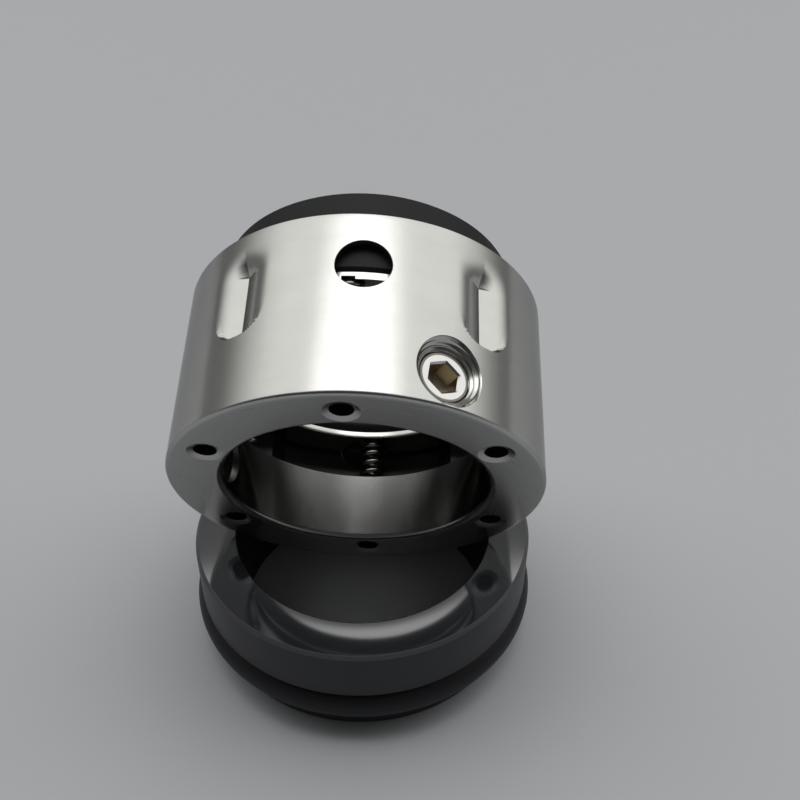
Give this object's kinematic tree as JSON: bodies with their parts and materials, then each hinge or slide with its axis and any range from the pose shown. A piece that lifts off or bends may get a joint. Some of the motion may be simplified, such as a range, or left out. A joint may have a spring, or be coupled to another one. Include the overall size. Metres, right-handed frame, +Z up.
{
  "type": "mechanical shaft seal",
  "caption": "Multi-spring pusher shaft seal: bored shell with set screws, windows and drive dents holds a sprung seal ring; it lies in its ring-shaped seat with O-ring.",
  "frame": {"origin": "the seat ring's axis on the surface that the seat stands on", "axes": "+Z up along the seat ring's axis; the rotary unit's axis lies in the YZ plane, its drive end towards -Y and down, its seal face towards +Y and up"},
  "size_m": [0.0554, 0.0594, 0.0707],
  "materials": {
    "stainless": "turned and polished stainless steel",
    "spring_steel": "drawn stainless wire and strip",
    "screw_steel": "plain stainless set screw",
    "carbon": "matt charcoal carbon-graphite",
    "lapped_ceramic": "dense dark ceramic, lapped face",
    "elastomer": "smooth black rubber"
  },
  "bodies": {
    "seat_and_shell": {"seat_ring": "lapped_ceramic", "seat_o_ring": "elastomer", "shell": "stainless", "retaining_ring": "spring_steel", "spring_1": "spring_steel", "spring_2": "spring_steel", "spring_3": "spring_steel", "spring_4": "spring_steel", "spring_5": "spring_steel", "spring_6": "spring_steel"},
    "face_unit": {"seal_ring": "carbon", "thrust_disc": "stainless", "shaft_o_ring": "elastomer"},
    "set_screw_1": {"set_screw_1": "screw_steel"},
    "set_screw_2": {"set_screw_2": "screw_steel"}
  },
  "joints": [
    {"name": "face_float", "type": "slide", "parent": "seat_and_shell", "child": "face_unit", "axis": [0, 0.9249, 0.3803], "range_m": [-0.003, 0], "stiffness_N_per_m": 8000, "springref_m": 0.0005, "deforming": ["spring_1", "spring_2", "spring_3", "spring_4", "spring_5", "spring_6"]},
    {"name": "set_screw_1_travel", "type": "slide", "parent": "seat_and_shell", "child": "set_screw_1", "axis": [0.4695, -0.3358, 0.8166], "range_m": [-0.00125, 0.00125]},
    {"name": "set_screw_2_travel", "type": "slide", "parent": "seat_and_shell", "child": "set_screw_2", "axis": [-0.9994, 0.0133, -0.0323], "range_m": [-0.00125, 0.00125]}
  ]
}
